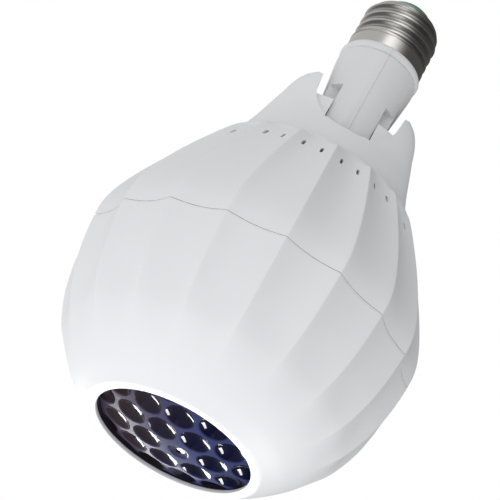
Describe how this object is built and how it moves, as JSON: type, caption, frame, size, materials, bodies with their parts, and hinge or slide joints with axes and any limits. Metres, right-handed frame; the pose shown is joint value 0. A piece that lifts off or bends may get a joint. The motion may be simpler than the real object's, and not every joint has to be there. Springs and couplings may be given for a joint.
{
  "type": "snowflake projector bulb",
  "caption": "Fluted white projector bulb with a window for a turning fly-eye lens, vents, and a tilting neck that ends in a large Edison screw cap.",
  "frame": {"origin": "centre of the window rim, on the plane that the bulb stands on", "axes": "+Z along the bulb to the screw cap, +X along the hinge of the neck, -Y to the pictured side"},
  "size_m": [0.107, 0.1086, 0.1774],
  "materials": {
    "white_housing": "glossy white moulded plastic",
    "white_neck": "glossy white moulded plastic",
    "cap_metal": "satin nickel-plated rolled sheet",
    "green_insulator": "moulded green insulator",
    "contact_metal": "tinned contact",
    "lens_plastic": "dark blue clear-coated lens",
    "steel": "plated steel",
    "sink_aluminium": "die-cast aluminium",
    "holder_plastic": "black moulded plastic",
    "frame_plastic": "white moulded plastic",
    "board": "coated circuit board",
    "chip": "phosphor-coated chip",
    "slide_film": "black slide with cut-out star",
    "condenser_glass": "clear moulded lens",
    "component_black": "moulded component case",
    "component_sleeve": "shrink sleeve",
    "component_red": "dipped film capacitor",
    "connector_plastic": "ivory connector"
  },
  "bodies": {
    "housing": {"front_shell": "white_housing", "rear_shell": "white_housing", "window_seal": "holder_plastic", "inner_frame": "frame_plastic", "frame_screws": "steel", "optics_holder": "holder_plastic", "holder_screws": "steel", "slide_discs": "slide_film", "condenser_lenses": "condenser_glass", "motor_case": "steel", "motor_screws": "steel", "led_board": "board", "led_chips": "chip", "led_board_screws": "steel", "heat_sink": "sink_aluminium", "sink_screws": "steel", "driver_board": "board", "board_screws": "steel", "capacitor": "component_sleeve", "transformer": "component_black", "rectifier": "component_black", "film_capacitor": "component_red", "fuse_resistor": "component_black", "led_connector": "connector_plastic", "motor_connector": "connector_plastic", "hinge_pins": "steel", "hinge_washers": "steel"},
    "neck": {"neck_left": "white_neck", "neck_right": "white_neck", "screw_cap": "cap_metal", "cap_insulator": "green_insulator", "centre_contact": "contact_metal"},
    "lens": {"fly_eye_lens": "lens_plastic", "drive_shaft": "steel"}
  },
  "joints": [
    {"name": "neck_tilt", "type": "hinge", "parent": "housing", "child": "neck", "pos_m": [0, 0, 0.124], "axis": [1, 0, 0], "range_deg": [-30, 30]},
    {"name": "lens_spin", "type": "hinge", "parent": "housing", "child": "lens", "pos_m": [0.0029, 0.0023, 0], "axis": [0, 0, 1], "continuous": true}
  ]
}
